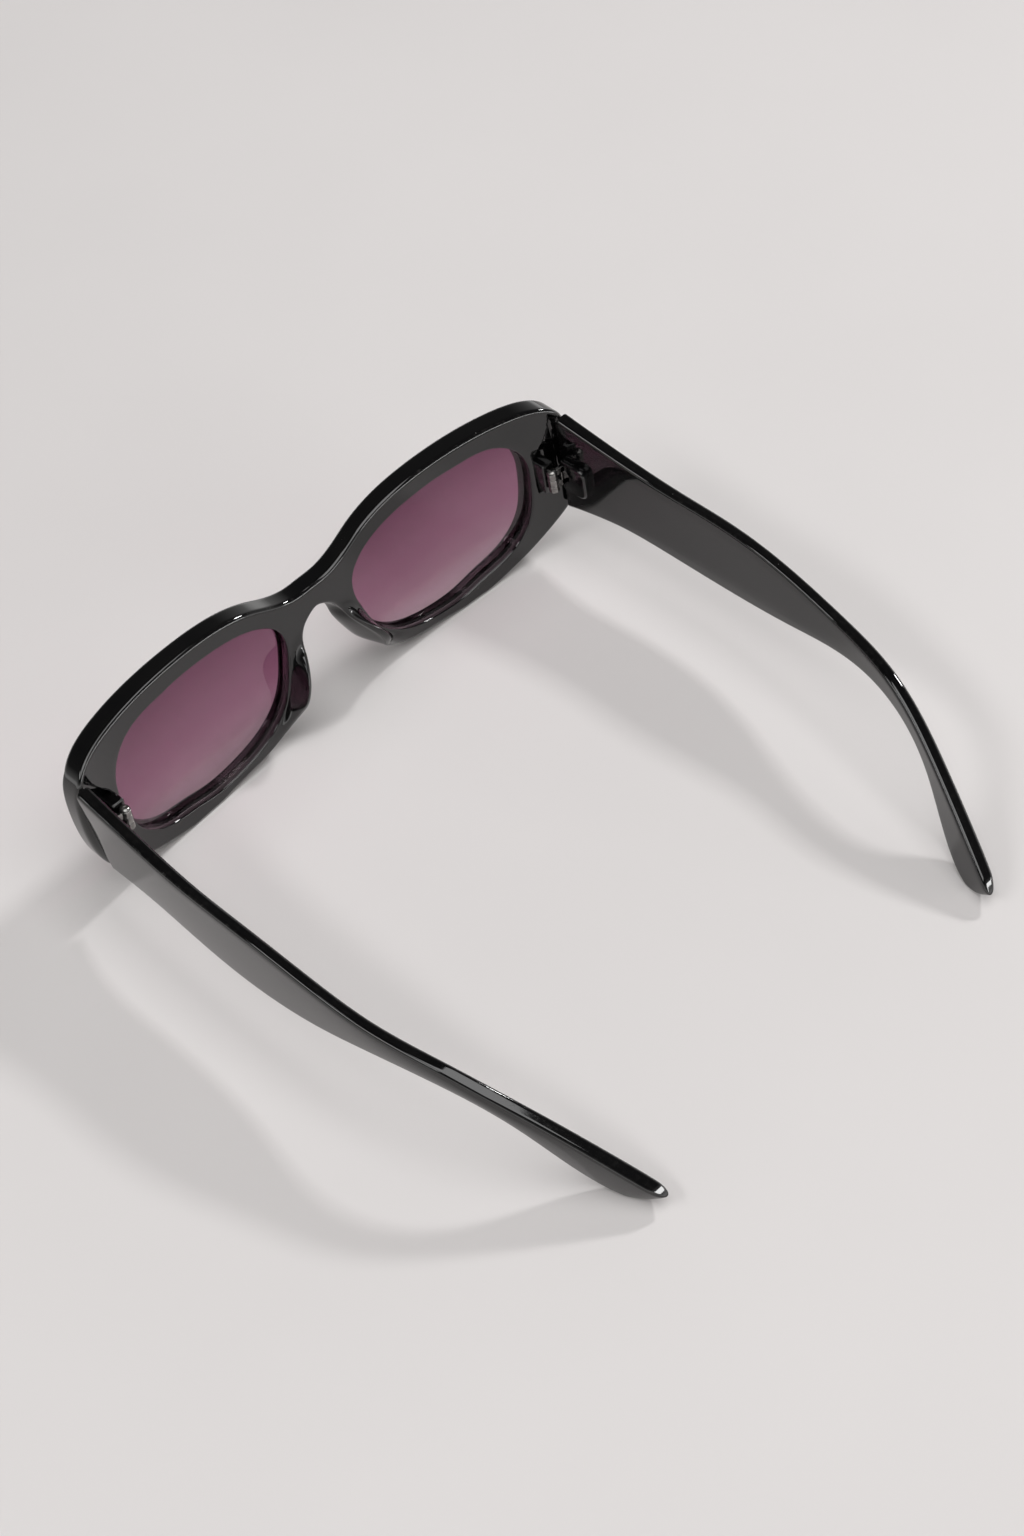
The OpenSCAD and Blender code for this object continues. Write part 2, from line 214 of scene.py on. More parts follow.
def maths(tree, label, operation, *terms):
    # each term is a number or another node's output
    made = node(tree, "Math", label, operation=operation)
    for socket, term in zip(made.inputs, terms):
        if isinstance(term, float):
            socket.default_value = term
        else:
            tree.links.new(term, socket)
    return made.outputs["Value"]


def mapped(tree, label, value, low, high, toLow=0.0, toHigh=1.0, **settings):
    # the range from low to high put on the range from toLow to toHigh
    made = node(tree, "MapRange", label, {"Value": value}, From_Min=low, From_Max=high,
                To_Min=toLow, To_Max=toHigh, **settings)
    return made.outputs["Result"]


def ramp(tree, label, place, stops):
    # colours at their places from 0 to 1, in order
    made = node(tree, "ValToRGB", label, {"Fac": place})
    cells = made.color_ramp.elements
    for cell, (at, colour) in zip(cells, (stops[0], stops[-1])):
        cell.position, cell.color = at, (*colour, 1)
    for at, colour in stops[1:-1]:
        cells.new(at).color = (*colour, 1)
    return made.outputs["Color"]


def over(tree, label, amount, under, colour):
    # a plain colour laid over another node's, by amount
    made = node(tree, "Mix", label, data_type="RGBA", B=(*colour, 1))
    tree.links.new(amount, made.inputs["Factor"])
    tree.links.new(under, made.inputs["A"])
    return made.outputs["Result"]


def ownOutput(tree, label, amount, first, second, end):
    # the two shaders mixed by amount and taken to the tree's own output
    both = node(tree, "MixShader", label, {"Fac": amount, 1: first, 2: second})
    tree.links.new(both.outputs["Shader"], tree.nodes[end].inputs["Surface"])


glossLook = dict(base=(0.0016, 0.0016, 0.0019), haze=(0.0036, 0.0034, 0.0034), ior=1.62,
                 worn=(0.018, 0.017, 0.016), wornFrom=0.5, wornTo=0.72,
                 roughLow=0.03, roughHigh=0.08, roughWorn=0.18,
                 dust=(0.3, 0.29, 0.28), dustSize=0.00009, dustRare=0.86,
                 hair=0.02, hairDeep=0.00004, hairTurn=(0.2, 0.1, 0.4), hairLong=0.06,
                 wave=0.03, waveDeep=0.002, cloudSpan=(0.35, 0.75), smearSpan=(0.35, 0.8),
                 # how fine each pattern is, in cells to a metre
                 cloudFine=90.0, rubFine=700.0, dustFine=420.0, smearFine=55.0, hairFine=1500.0,
                 waveFine=60.0)


def dustSpecks(tree, place, look):
    # 1 in the middles of a few of the cells
    cells = node(tree, "TexVoronoi", "dust", {"Vector": place}, Scale=look["dustFine"], Randomness=1.0)
    speck = maths(tree, "speck", "LESS_THAN", cells.outputs["Distance"], look["dustSize"] * look["dustFine"])
    some = node(tree, "SeparateColor", "some cells", {"Color": cells.outputs["Color"]})
    rare = maths(tree, "rare", "GREATER_THAN", some.outputs["Red"], look["dustRare"])
    return maths(tree, "dusty", "MULTIPLY", speck, rare)


def fineRelief(tree, place, look):
    # hairlines on a soft wave
    stretch = node(tree, "Mapping", "stretch", {"Vector": place}, Scale=(1.0, look["hairLong"], 1.0),
                   Rotation=look["hairTurn"])
    hair = noise(tree, "hairlines", stretch.outputs["Vector"], look["hairFine"], Detail=2.0)
    fine = node(tree, "Bump", "fine", {"Height": hair}, Strength=look["hair"], Distance=look["hairDeep"])
    wave = noise(tree, "ripple", place, look["waveFine"], Detail=1.0)
    soft = node(tree, "Bump", "soft ripple", {"Height": wave, "Normal": fine.outputs["Normal"]},
                Strength=look["wave"], Distance=look["waveDeep"])
    return soft.outputs["Normal"]


def glossPlastic(look):
    # glossy black moulding: faint cloudiness, hairline scratches, specks of dust, rubbed edges
    material, tree, shader = newMaterial("gloss_black_plastic")
    place = objectPlace(tree)
    cloud = noise(tree, "cloud", place, look["cloudFine"], Detail=4.0, Roughness=0.6)
    tone = ramp(tree, "tone", cloud, list(zip(look["cloudSpan"], (look["base"], look["haze"]))))
    edge = node(tree, "Attribute", "edge", attribute_name="wear").outputs["Fac"]
    rub = noise(tree, "rub", place, look["rubFine"], Detail=6.0, Roughness=0.7)
    rubbed = mapped(tree, "rubbed", rub, look["wornFrom"], look["wornTo"])
    wear = maths(tree, "wear amount", "MULTIPLY", edge, rubbed)
    worn = over(tree, "worn", wear, tone, look["worn"])
    colour = over(tree, "colour", dustSpecks(tree, place, look), worn, look["dust"])
    smear = noise(tree, "smear", place, look["smearFine"], Detail=5.0, Roughness=0.65, Distortion=0.6)
    rough = mapped(tree, "rough", smear, *look["smearSpan"], look["roughLow"], look["roughHigh"])
    roughWorn = maths(tree, "rough worn", "MULTIPLY_ADD", wear, look["roughWorn"], rough)
    tree.links.new(colour, shader.inputs["Base Color"])
    tree.links.new(roughWorn, shader.inputs["Roughness"])
    tree.links.new(fineRelief(tree, place, look), shader.inputs["Normal"])
    shader.inputs["IOR"].default_value = look["ior"]
    return material


lensLook = dict(bottomZ=0.004, topZ=0.037, low=(0.76, 0.6, 0.675), lower=(0.43, 0.222, 0.318), lowerAt=0.3,
                middle=(0.33, 0.135, 0.225), middleAt=0.5, top=(0.155, 0.04, 0.092), drift=0.003,
                driftFine=40.0, roughLow=0.02, roughHigh=0.05, smearFine=120.0, smearSpan=(0.5, 0.85),
                ior=1.49)


def tintedLens(look):
    # plum tint that fades from the brow down, with faint smears
    material, tree, shader = newMaterial("plum_tinted_lens")
    place = objectPlace(tree)
    parts = node(tree, "SeparateXYZ", "parts", {"Vector": place})
    drift = noise(tree, "drift", place, look["driftFine"], Detail=1.0)
    shift = maths(tree, "shift", "MULTIPLY_ADD", drift, look["drift"], parts.outputs["Z"])
    height = mapped(tree, "height", shift, look["bottomZ"], look["topZ"])
    tint = ramp(tree, "tint", height, [(0.0, look["low"]), (look["lowerAt"], look["lower"]),
                                       (look["middleAt"], look["middle"]), (1.0, look["top"])])
    smear = noise(tree, "smear", place, look["smearFine"], Detail=6.0, Roughness=0.7, Distortion=1.2)
    rough = mapped(tree, "rough", smear, *look["smearSpan"], look["roughLow"], look["roughHigh"])
    tree.links.new(tint, shader.inputs["Base Color"])
    tree.links.new(rough, shader.inputs["Roughness"])
    shader.inputs["IOR"].default_value = look["ior"]
    shader.inputs["Transmission Weight"].default_value = 1.0
    clear = node(tree, "BsdfTransparent", "shadow light", {"Color": tint})
    path = node(tree, "LightPath", "path")
    ownOutput(tree, "clear in shadows", path.outputs["Is Shadow Ray"], shader.outputs["BSDF"],
              clear.outputs["BSDF"], "Material Output")
    return material


metalLook = dict(base=(0.3, 0.29, 0.28), dull=(0.15, 0.145, 0.14), roughLow=0.08, roughHigh=0.22,
                 patchFine=900.0, patchSpan=(0.3, 0.6), lineFine=6000.0, lineLong=0.15, lineDeep=0.00003,
                 line=0.15)


def hingeMetal(look):
    # nickel-plated hinge metal: turned lines, dull patches
    material, tree, shader = newMaterial("nickel_hinge_metal")
    place = objectPlace(tree)
    patch = noise(tree, "patch", place, look["patchFine"], Detail=4.0, Roughness=0.65)
    tone = ramp(tree, "tone", patch, list(zip(look["patchSpan"], (look["dull"], look["base"]))))
    squash = node(tree, "Mapping", "squash", {"Vector": place},
                  Scale=(look["lineLong"], look["lineLong"], 1.0))
    lines = noise(tree, "lines", squash.outputs["Vector"], look["lineFine"], Detail=2.0)
    rough = mapped(tree, "rough", lines, 0.0, 1.0, look["roughLow"], look["roughHigh"])
    bump = node(tree, "Bump", "turned", {"Height": lines}, Strength=look["line"], Distance=look["lineDeep"])
    tree.links.new(tone, shader.inputs["Base Color"])
    tree.links.new(rough, shader.inputs["Roughness"])
    tree.links.new(bump.outputs["Normal"], shader.inputs["Normal"])
    shader.inputs["Metallic"].default_value = 1.0
    return material


blackPlastic = glossPlastic(glossLook)
plumLens = tintedLens(lensLook)
nickel = hingeMetal(metalLook)
print("materials made")


# places along the outline, such as padSpan, count its points from 0 at the top of the bridge
front = dict(thick=4.8, endExtra=1.0, wrap=6.5, wrapPower=5, wrapInset=2.5, lean=0.08, leanZ=22.2,
             edgeR=0.9, lipR=0.35, lipWear=0.4, groove=0.8, recess=2.2, lensThick=1.7, play=0.04,
             # nose pad: height, extra rounding, where and how it swells, how it falls to the lens, how its
             # outer side hollows, and how far its crest lies in from the outline
             padHigh=5.5, padRound=0.6, padSpan=(19.0, 25.2), padFull=2.0, padFall=0.86, padHollow=1.25,
             padSplay=[0, 0.3, 1.9, 2.8, 2.5, 1.7, 1.0, 0], padSplayEnd=0.8,
             # softer rear edge at the end piece
             endEase=1.2, endSpan=(9, 15.4),
             # how much higher the stations near the bridge's underside aim
             aimHigher=4.0, aimSpan=(24, 26), aimPower=1.5,
             # steps of the mesh
             perSpan=14, bridgeSteps=24, edgeSteps=9, lipSteps=6, sideSteps=9, rearSteps=31,
             # hinge block
             blockLow=(hingeX - 1.3, -5.6, 19.36), blockHigh=(hingeX + 1.9, -0.15, 27.44), blockR=0.45,
             # hollow round the hinge: its depth, outer wall, inner edge by height, low and top ends
             hollow=2.0, hollowWall=(67.3, 68.3), hollowEdge=[60.7, 60.9, 61.3, 63.2, 65.2, 66.4],
             hollowEdgeZ=(20, 37.5), hollowSoft=0.5, hollowLow=(18.2, 19.4), hollowTop=(37.4, 38.8))
# half outline, from the top of the bridge round the end piece to the underside of the bridge
outline = [(0, 35.2), (5, 35.4), (10.5, 37.3), (16, 40), (23, 42), (32, 42.8), (44, 42.6), (55, 41.8),
           (63, 40.8), (68, 38.6), (70.4, 34), (71, 27), (70.6, 20), (69.2, 14.2), (66, 9.8), (59, 4.9),
           (50, 1.3), (40, -0.25), (30, 1.1), (20.8, 2.6), (14.3, 6.1), (10.3, 9.3), (7.9, 13.4),
           (6.2, 17.3), (4.9, 21.2), (3.85, 25.3), (0, 29.2)]
lensMiddle = np.array([34.5, 20.7])
# radii of the lens opening every 20 degrees from +X upwards
lensRadii = [25, 26.2, 24, 19.6, 17.7, 17.7, 19.5, 23, 25.6,
             23.7, 22.3, 20.6, 18.6, 17.6, 17.7, 18.8, 22.2, 24.4]

wrapX = halfWidth - front["wrapInset"]
lastPlace = len(outline) - 1  # along the outline, at the bridge's underside


def outShare(x, power):
    return np.minimum(1, (np.abs(x) / wrapX) ** power)


def rearY(q):
    # rear face: flat in the middle, wrapping back as a high power of x, leaning with z
    x, z = q[..., 0], q[..., 1]
    return -front["wrap"] * (1 - outShare(x, front["wrapPower"])) - front["lean"] * (z - front["leanZ"])


def foreY(q):
    # fore face: a little thicker towards the ends
    return rearY(q) - front["thick"] - front["endExtra"] * outShare(q[..., 0], 2)


def at(q, y):
    # points from x, z in q and y
    return np.stack([q[..., 0], y + 0 * q[..., 0], q[..., 1]], axis=-1)


def lensEdge(direction):
    # point of the lens opening in a direction from its middle: a smooth closed curve of the radii
    turn = np.arctan2(direction[..., 1], direction[..., 0]) / (2 * np.pi) % 1
    return lensMiddle + curve(lensRadii, turn, closed=True)[..., None] * direction


def frontStations():
    # per station: outer point, direction out of the outline, radius of its edges, place k along the outline
    half = np.array(outline, float)
    whole = np.vstack([half, (half * [-1, 1])[-2:0:-1]])  # the other half without the two middle points
    k = np.linspace(0, lastPlace, lastPlace * front["perSpan"] + 1)
    step = 0.02

    def edge(place):
        q = curve(whole, place / len(whole) % 1, closed=True)
        return np.stack([q[..., 0], np.maximum(q[..., 1], 0)], axis=-1)

    outer = edge(k)
    along = edge(k + step) - edge(k - step)
    normal = unit(np.stack([-along[:, 1], along[:, 0]], axis=-1))
    outer[0, 0] = outer[-1, 0] = 0
    normal[0], normal[-1] = (0, 1), (0, -1)
    # from the bridge's underside the stations go on up the middle plane to its top
    top, low = outer[0, 1] - front["edgeR"], outer[-1, 1] + front["edgeR"]
    up = np.linspace(0, 1, front["bridgeSteps"] + 1)[:-1]
    seam = np.stack([0 * up, low + (top - low) * up], axis=-1)
    outer = np.vstack([outer, seam])
    normal = np.vstack([normal, np.tile((-1.0, 0.0), (len(seam), 1))])
    radius = np.r_[np.full(len(k), front["edgeR"]), np.zeros(len(seam))]
    return outer, normal, radius, np.r_[k, np.full(len(seam), float(lastPlace))]


def fromLens(outer, k):
    # direction of each station from the lens's middle, turned up near the bridge's underside, where the
    # stations would cross
    underside, top = outline[-1][1], outer[0, 1]
    fromTop = np.clip((top - outer[:, 1]) / (top - underside), 0, 1)
    low, high = front["aimSpan"]
    share = np.clip((k - low) / (high - low), 0, 1) ** front["aimPower"] * fromTop
    return unit(outer + share[:, None] * [0, front["aimHigher"]] - lensMiddle)


def padCrest(outer, normal, k):
    # where the rear edge of the outer side lies: drawn away from the nose along the pad
    steps = len(front["padSplay"]) - 1
    along = (k - lastPlace) / steps + 1  # the splay is given at the last points of the outline
    splay = curve(front["padSplay"], np.clip(along, 0, 1))
    ending = eased(k, lastPlace, lastPlace - front["padSplayEnd"])
    return outer - (splay * ending)[:, None] * normal


def hollowEdgeX(z):
    low, high = front["hollowEdgeZ"]
    return curve(front["hollowEdge"], np.clip((z - low) / (high - low), 0, 1))


def hollowDepth(q):
    # depth of the hollow below the rear face at x, z in q
    x, z = np.abs(q[..., 0]), q[..., 1]
    inner = hollowEdgeX(z)
    inside = eased(x, inner, inner + front["hollowSoft"]) * (1 - eased(x, *front["hollowWall"]))
    return front["hollow"] * inside * eased(z, *front["hollowLow"]) * (1 - eased(z, *front["hollowTop"]))


def hollowColumns(rearOut, rearIn, count):
    # shares across the rear face, drawn together at the two walls of the hollow where there is one
    plainWall, plainEdge, wallBand, edgeBand, apart = 0.2, 0.6, 0.08, 0.06, 0.16
    across = np.maximum(rearOut[:, 0] - rearIn[:, 0], 3)
    z = (rearOut[:, 1] + rearIn[:, 1]) / 2
    near = eased(rearOut[:, 0], 62, 68) * eased(z, 12, 18) * (1 - eased(z, 38, 41))  # 1 beside the hollow
    wall = (rearOut[:, 0] - sum(front["hollowWall"]) / 2) / across
    edge = (rearOut[:, 0] - hollowEdgeX(z) - front["hollowSoft"] / 2) / across
    wall = plainWall + near * (np.clip(wall, 0.1, 0.5) - plainWall)
    edge = np.maximum(plainEdge + near * (np.clip(edge, 0.25, 0.9) - plainEdge), wall + apart)
    knots = np.stack([0 * wall, wall - wallBand, wall + wallBand,
                      edge - edgeBand, edge + edgeBand, 1 + 0 * wall], axis=1)
    places = np.linspace(0, 5, count)
    step = np.minimum(places.astype(int), 4)
    return knots[:, step] + (knots[:, step + 1] - knots[:, step]) * (places - step)


def frontSection():
    # rim section carried round the outline: faces, rounded edges, nose-pad ridge, lips and lens groove
    outer, normal, radius, k = frontStations()
    fromMiddle = fromLens(outer, k)
    inner = lensEdge(fromMiddle)
    crest = padCrest(outer, normal, k)
    swell = hump(k, front["padSpan"]) ** front["padFull"]
    rise = (swell * front["padHigh"])[:, None]
    foreR = radius[:, None]
    rearR = (radius + front["endEase"] * hump(k, front["endSpan"]) + front["padRound"] * swell)[:, None]
    lip, groove, recess, play = front["lipR"], front["groove"], front["recess"], front["play"]
    # angles of a rounded edge, from the face (0) to the side (90 degrees)
    arc = np.radians(np.linspace(0, 90, front["edgeSteps"]))[None, :]
    lipArc = np.radians(np.linspace(90, 0, front["lipSteps"]))[None, :]
    across = np.linspace(0, 1, front["sideSteps"])[None, 1:-1]
    parts, wears = [], []

    def add(points, wear):
        parts.append(points)
        wears.append(np.broadcast_to(wear, points.shape[:2]))

    def fillet(base, r, a):
        return base[:, None] - normal[:, None] * (r * (1 - np.sin(a)))[..., None]

    def lipEdge(a):
        return inner[:, None] + fromMiddle[:, None] * (lip * (1 - np.sin(a)))[..., None]

    q = lipEdge(lipArc)
    add(at(q, foreY(q) + lip * (1 - np.cos(lipArc))), front["lipWear"] * np.sin(lipArc))
    foreIn, foreOut = q[:, -1], fillet(outer, foreR, arc)[:, 0]
    q = foreIn[:, None] + (foreOut - foreIn)[:, None] * across[..., None]
    add(at(q, foreY(q)), 0)
    firstOuter = sum(p.shape[1] for p in parts)
    q = fillet(outer, foreR, arc)
    add(at(q, foreY(q) + foreR * (1 - np.cos(arc))), np.sin(2 * arc))
    foreSide = foreY(outer)[:, None] + foreR
    rearSide = rearY(crest)[:, None] + rise - rearR
    q = outer[:, None] + (crest - outer)[:, None] * (across ** front["padHollow"])[..., None]
    add(at(q, foreSide + (rearSide - foreSide) * across), 0)
    back = arc[:, ::-1]
    q = fillet(crest, rearR, back)
    add(at(q, rearY(q) + rise - rearR * (1 - np.cos(back))), np.sin(2 * back))
    lastOuter = sum(p.shape[1] for p in parts) - 1
    rearOut, rearIn = q[:, -1], inner + lip * fromMiddle
    f = hollowColumns(rearOut, rearIn, front["rearSteps"])[:, 1:-1]
    q = rearOut[:, None] + (rearIn - rearOut)[:, None] * f[..., None]
    ridge = rise * (0.5 + 0.5 * np.cos(np.pi * f)) ** front["padFall"]
    add(at(q, rearY(q) + ridge - hollowDepth(q)), 0)
    back = lipArc[:, ::-1]
    q = lipEdge(back)
    add(at(q, rearY(q) - lip * (1 - np.cos(back))), front["lipWear"] * np.sin(back))
    deep = inner + groove * fromMiddle
    lensRear, deepRear, thick = rearY(inner) - recess, rearY(deep) - recess, front["lensThick"]
    for base, y in ((inner, lensRear + play), (deep, deepRear + play),
                    (deep, deepRear - thick - play), (inner, lensRear - thick - play)):
        add(at(base, y)[:, None], 0)
    points = np.concatenate(parts, axis=1)
    points[np.abs(points[..., 0]) < 1e-6, 0] = 0
    return points, np.concatenate(wears, axis=1), firstOuter, lastOuter


def makeFront():
    # both halves, which meet on the middle plane without the outer side's columns there, and hinge blocks
    points, wear, firstOuter, lastOuter = frontSection()
    rows, cols = points.shape[:2]
    onSeam = rows - front["bridgeSteps"] - 1
    faces = gridFaces(rows, cols, closeRows=True)
    keep = np.ones(faces.shape[:2], bool)
    keep[onSeam:, firstOuter:lastOuter] = False
    half = faces[keep]
    both = np.vstack([half, half[:, ::-1] + rows * cols])
    flat = points.reshape(-1, 3)
    rims = (np.vstack([flat, mirrored(flat)]), both.tolist(), np.r_[wear.ravel(), wear.ravel()])
    block = roundBox(front["blockLow"], front["blockHigh"], front["blockR"])
    points, faces, wear = joined(rims, block, mirroredShell(block))
    return makePiece("front_moulding", points, faces, blackPlastic, wear=wear)


frontPiece = makeFront()
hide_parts("front_frame")
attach(frontPiece, "front")
print("front made:", len(frontPiece.data.polygons), "faces")


lens = dict(around=240, rings=22, ringPower=0.7, edgeRound=0.25)


def lensPoints():
    # two faces that follow the rear face at an even depth, joined by a rounded rim inside the groove
    angle = np.linspace(0, 2 * np.pi, lens["around"], endpoint=False)
    direction = np.stack([np.cos(angle), np.sin(angle)], axis=-1)
    rim = lensEdge(direction) + (front["groove"] - front["play"]) * direction
    r = lens["edgeRound"]
    share = np.linspace(0, 1, lens["rings"] + 1)[1:] ** lens["ringPower"]

    def face(drop):
        q = lensMiddle + share[:, None, None] * (rim - r * direction - lensMiddle)
        return at(q, rearY(q) - front["recess"] - drop)

    turn = np.radians(np.linspace(0, 180, 9))[1:-1, None, None]
    q = rim - r * direction * (1 - np.sin(turn))
    flatPart = front["lensThick"] - 2 * r
    drop = r * (1 - np.cos(turn[..., 0])) + flatPart * (turn[..., 0] > np.pi / 2)
    side = at(q, rearY(q) - front["recess"] - drop)
    return np.concatenate([face(0), side, face(front["lensThick"])[::-1]])


def makeLens(side, sign):
    points, faces, _ = capped(lensPoints())
    piece = makePiece("tinted_lens_" + side, points * [sign, 1, 1], faces, plumLens)
    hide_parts("lens_" + side)
    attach(piece, "front")
    return piece


for side, sign in sides:
    makeLens(side, sign)
print("lenses made")


# sides, middles, halves, thins and twists are given at even steps from the butt to the end of the length
temple = dict(length=131.6, rootHigh=24.4, tipHigh=10.0, thick=3.4, edgeR=0.9, buttGap=0.05, buttShare=0.12,
              bulge=0.2, bulgeFullWidth=3, bodyRows=180, taperRows=40, buttRound=0.3, buttRows=5, buttRun=3,
              # tip: how far it goes on past the length, and how it draws in
              tipPast=2.98, tipLift=0.9, tipMiddle=0.12, tipFull=0.74,
              taper=18, taperTurn=89, taperPower=0.87, thinPower=10,
              # the edges' radius is at most these shares of the half height and of the thickness
              roundHigh=0.6, roundThick=0.42, cornerSteps=8, bulgeSteps=17, edgeWear=(0.3, 0.2),
              sides=[-0.4, 0.1, 0.2, -0.6, -3.2, -9.9, -21],
              middles=[24.6, 24.5, 23.8, 23.9, 24.1, 24.6, 23.8, 16.6],
              halves=[1, 0.805, 0.765, 0.759, 0.6, 0.342, 0.227, 0.236],
              thins=[1, 0.85, 0.82, 0.9, 1.05], twists=[-1.7, -0.75, -0.35, 2.2],
              tabletX=(hingeX + 2.9, hingeX + 5.5), tabletLow=(0.75, 18.66), tabletHigh=(8.15, 27.14),
              tabletNearR=0.3, tabletFarR=2.2, tabletR=0.5)
halfHeights = [share * temple["rootHigh"] / 2 for share in temple["halves"]]
halfHeights.append(temple["tipHigh"] * temple["tipFull"])
middles = temple["middles"] + [temple["tipHigh"] * temple["tipMiddle"]]


def sectionLoop(h, w, r):
    # rounded rectangle: depth in from the outer face and height, for arrays of half height, width and radius
    h, w, r = (v[:, None] for v in (h, w, r))
    turn = np.radians(np.linspace(0, 90, temple["cornerSteps"]))[None, :]
    along = np.linspace(0, 1, temple["cornerSteps"])[None, 1:-1]
    rise = np.linspace(-1, 1, temple["bulgeSteps"])[None, 1:-1]
    full = temple["bulge"] * np.minimum(1, w / temple["bulgeFullWidth"])

    def points(depth, height):
        return np.stack(np.broadcast_arrays(depth, height), axis=-1)

    def corner(cx, cy, start):
        a = turn + np.radians(start)
        return points(cx - r * np.cos(a), cy + r * np.sin(a))

    def line(x0, x1, y0, y1):
        return points(x0 + (x1 - x0) * along, y0 + (y1 - y0) * along)

    bulged = points(-full * (1 - rise ** 2), rise * (h - r))
    loop = [bulged, corner(r, h - r, 0), line(r, w - r, h, h),
            corner(w - r, h - r, 90), line(w, w, h - r, r - h),
            corner(w - r, r - h, 180), line(w - r, r, -h, -h), corner(r, r - h, 270)]
    edge, flat = np.sin(2 * turn[0]), np.ones(along.size)
    upper, lower = temple["edgeWear"]
    wear = [0 * rise[0], edge, upper * flat, edge, 0 * flat, edge, lower * flat, edge]
    return np.concatenate(loop, axis=1), np.concatenate(wear)


def templePoints():
    # a section swept from the butt to the tip; the tip draws in towards its top edge as a part of an ellipse
    butt = np.radians(np.linspace(0, 90, temple["buttRows"] + 1))[:-1]
    end = temple["length"] + temple["tipPast"]
    turn = np.radians(temple["taperTurn"]) * np.linspace(0, 1, temple["taperRows"] + 1)[1:]
    run = np.r_[0 * butt, np.linspace(0, end - temple["taper"], temple["bodyRows"]),
                end - temple["taper"] * (1 - np.sin(turn))]
    drawn = np.r_[np.zeros(len(run) - len(turn)), turn]
    squeeze = np.cos(drawn) ** temple["taperPower"]
    thin = np.sqrt(1 - np.sin(drawn) ** temple["thinPower"])
    t, push = np.minimum(1, run / temple["length"]), np.maximum(0, run - temple["length"])
    # the butt's edges are rounded off, which moves the first rows back
    closing = np.r_[1 - np.sin(butt), np.zeros(len(run) - len(butt))] * temple["buttRound"]
    falling = np.maximum(0, 1 - run[len(butt):] / temple["buttRun"])
    back = np.r_[1 - np.cos(butt), falling] * temple["buttRound"]
    full = curve(halfHeights, t)
    wide = curve(temple["thins"], t) * temple["thick"]
    h, w = full * squeeze - closing, wide * thin - 2 * closing
    r = np.minimum(np.minimum(temple["edgeR"] * thin, h * temple["roundHigh"]), w * temple["roundThick"])
    loop, wear = sectionLoop(h, w, r)
    # the section stands across the middle line, and leans as the front does at the butt
    small = 0.01
    a, b = np.maximum(0, t - small), np.minimum(1, t + small)
    slope = (curve(middles, b) - curve(middles, a)) / ((b - a) * temple["length"])
    sideSlope = (temple["sides"][-1] - curve(temple["sides"], 1 - small)) / (small * temple["length"])
    fromButt = np.minimum(1, t / temple["buttShare"])
    lean = front["lean"]
    across = unit(np.stack([-(lean * (1 - fromButt) + slope * fromButt), 1 + 0 * t], axis=-1))
    ahead = unit(np.stack([1 + 0 * t, slope], axis=-1))
    start = temple["buttGap"] + lean * (front["leanZ"] - middles[0]) * (1 - fromButt)
    twist = curve(temple["twists"], t) / (2 * full)
    depth = loop[..., 0]
    height = loop[..., 1] + (full * (1 - squeeze) * temple["tipLift"])[:, None]
    x = halfWidth + curve(temple["sides"], t) - (wide - w) / 2 + sideSlope * push * ahead[:, 0]
    y = t * temple["length"] + push * ahead[:, 0] + start + back
    z = curve(middles, t) + push * ahead[:, 1]
    points = np.stack([x[:, None] - depth + twist[:, None] * (full[:, None] - height),
                       y[:, None] + height * across[:, :1],
                       np.maximum(0, z[:, None] + height * across[:, 1:])], axis=-1)
    return points, np.broadcast_to(wear, points.shape[:2])


def tablet():
    # raised tablet round the hinge leaf: an outline with two large far corners, its inner edge rounded
    (y0, z0), (y1, z1) = temple["tabletLow"], temple["tabletHigh"]
    near, far, edgeR = temple["tabletNearR"], temple["tabletFarR"], temple["tabletR"]
    cornerSteps, edgeSteps = 10, 7
    quarter = np.radians(np.linspace(0, 90, cornerSteps))
    turn = np.concatenate([quarter + start for start in np.radians((0, 90, 180, 270))])
    r = np.repeat([far, near, near, far], cornerSteps)
    cy = np.repeat([y1 - far, y0 + near, y0 + near, y1 - far], cornerSteps)
    cz = np.repeat([z1 - far, z1 - near, z0 + near, z0 + far], cornerSteps)
    a = np.radians(np.linspace(0, 90, edgeSteps))
    inset = edgeR * np.r_[0, 1 - np.cos(a)]
    x = np.r_[temple["tabletX"][1], temple["tabletX"][0] + edgeR * (1 - np.sin(a))]
    reach = np.maximum(r - inset[:, None], 0.02)
    loops = np.stack([x[:, None] + 0 * turn, cy + reach * np.cos(turn), cz + reach * np.sin(turn)], axis=-1)
    return capped(loops, np.r_[0, np.sin(2 * a)][:, None])


def makeTemple(side, sign):
    points, faces, wear = joined(capped(*templePoints()), tablet())
    piece = makePiece("temple_moulding_" + side, points * [sign, 1, 1], faces, blackPlastic, wear=wear)
    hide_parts("temple_" + side)
    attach(piece, side + "_temple")
    return piece


for side, sign in sides:
    makeTemple(side, sign)
print("temples made")


# heights above the table; the arms, the web and the plate are placed from the hinge axis
hinge = dict(low=20.66, high=26.14, sideHigh=1.7, middleLow=22.4, middleHigh=24.4, knuckleR=1.2, boreR=0.62,
             edge=0.14, boreEdge=0.098, leafThick=0.9, leafFrom=-3.1, leafToPin=0.9, armFrom=0.95, armTo=4.7,
             webFrom=2.2, plateTo=5.75, screwR=0.6, shankEdge=0.1, headR=1.05, headEdge=0.08, headHigh=0.7,
             headDome=0.45, domePower=2.5, slotWide=0.4, slotDeep=0.3, lobeSunk=0.05)


